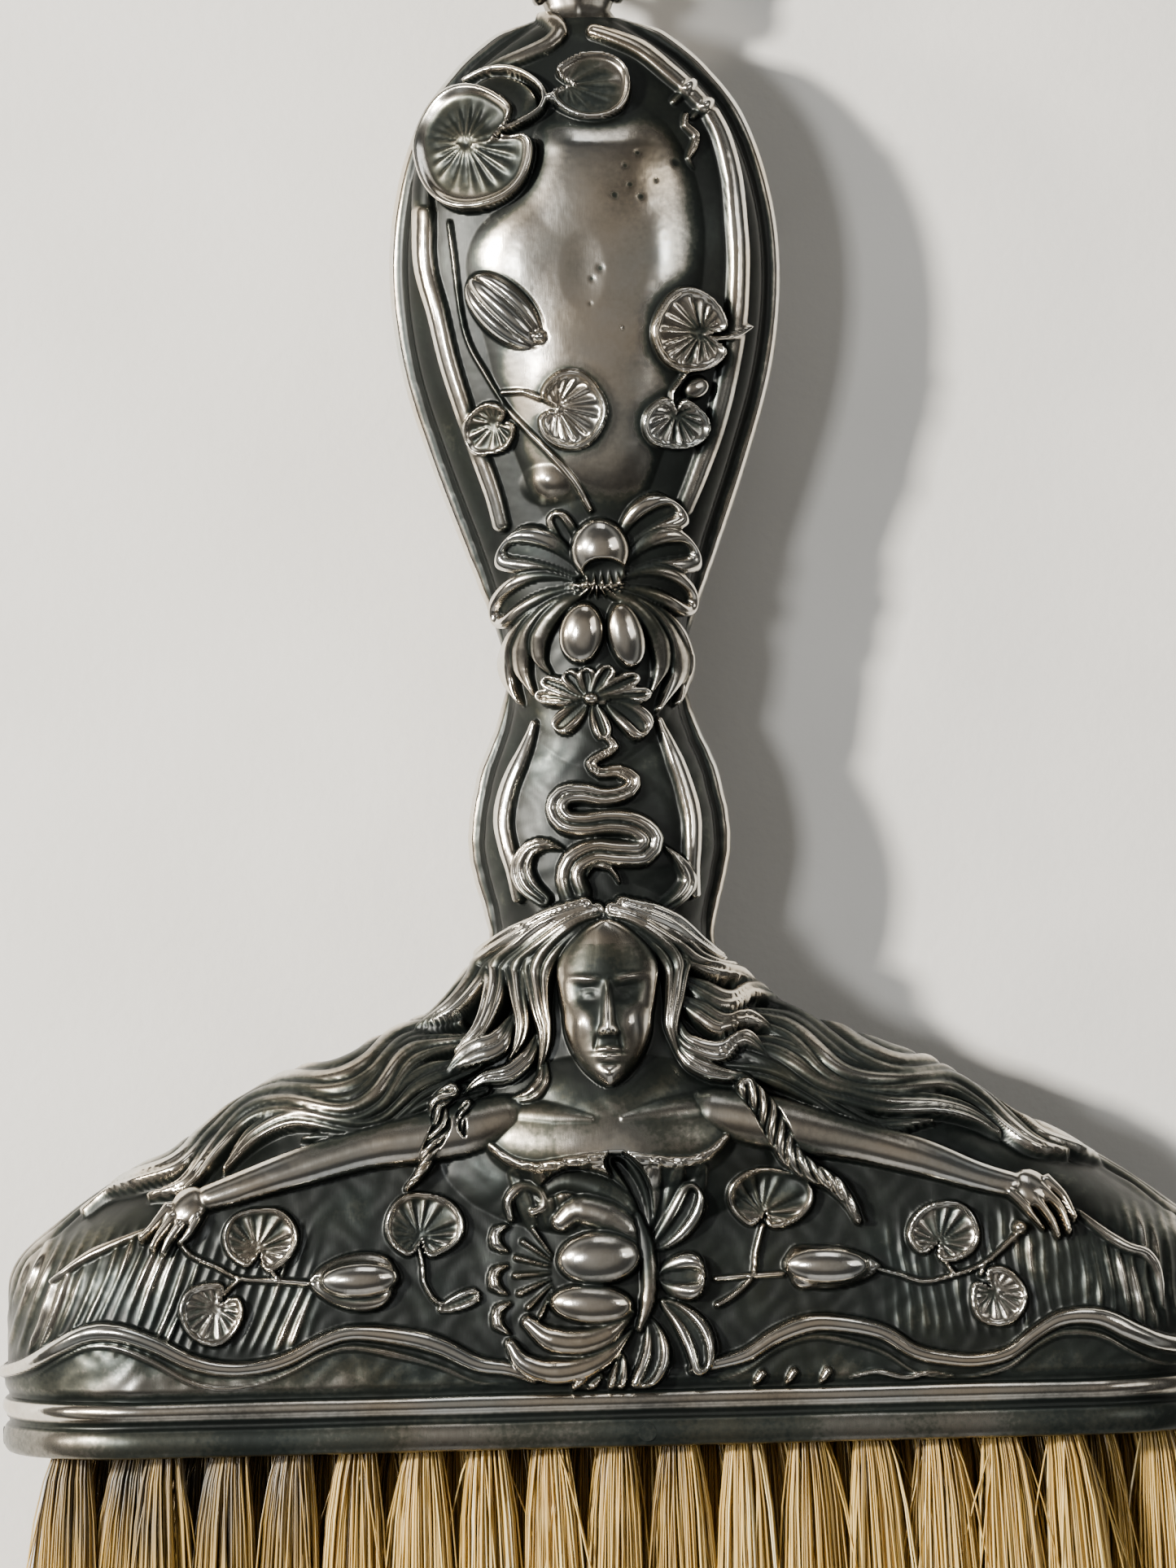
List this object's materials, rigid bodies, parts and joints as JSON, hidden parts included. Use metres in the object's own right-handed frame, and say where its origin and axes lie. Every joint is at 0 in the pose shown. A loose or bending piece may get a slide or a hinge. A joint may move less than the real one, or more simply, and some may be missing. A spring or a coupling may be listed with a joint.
{
  "type": "whisk clothes brush",
  "caption": "Lying whisk clothes brush: stamped silver handle and wide head, drilled wooden block with rows of bristle tufts, hinged hanging ring.",
  "frame": {"origin": "middle of the bounding box on the surface that the brush lies on", "axes": "+X to the brush's right seen from its front, +Y from the bristles to the tip of the handle, +Z out of the ornamented front"},
  "size_m": [0.11, 0.1949, 0.0282],
  "materials": {
    "stamped_silver": "oxidised sterling silver, worn bright on the high spots",
    "plain_silver": "drawn sterling silver with light tarnish",
    "block_wood": "dark stained hardwood",
    "hog_bristle": "natural blond bristle",
    "draw_wire": "plain wire",
    "cement": "set filling cement"
  },
  "bodies": {
    "brush": {"front_shell": "stamped_silver", "back_shell": "stamped_silver", "mouth_band": "plain_silver", "bristle_block": "block_wood", "bristle_row_1": "hog_bristle", "bristle_row_2": "hog_bristle", "bristle_row_3": "hog_bristle", "bristle_row_4": "hog_bristle", "bristle_row_5": "hog_bristle", "draw_wire_1": "draw_wire", "draw_wire_2": "draw_wire", "draw_wire_3": "draw_wire", "draw_wire_4": "draw_wire", "draw_wire_5": "draw_wire", "handle_cement": "cement", "collar_pins": "plain_silver", "ring_lug": "plain_silver"},
    "ring": {"hanging_ring": "plain_silver"}
  },
  "joints": [
    {"name": "ring_swing", "type": "hinge", "parent": "brush", "child": "ring", "pos_m": [0, 0.08117, 0.013], "axis": [1, 0, 0], "range_deg": [0, 180]}
  ]
}
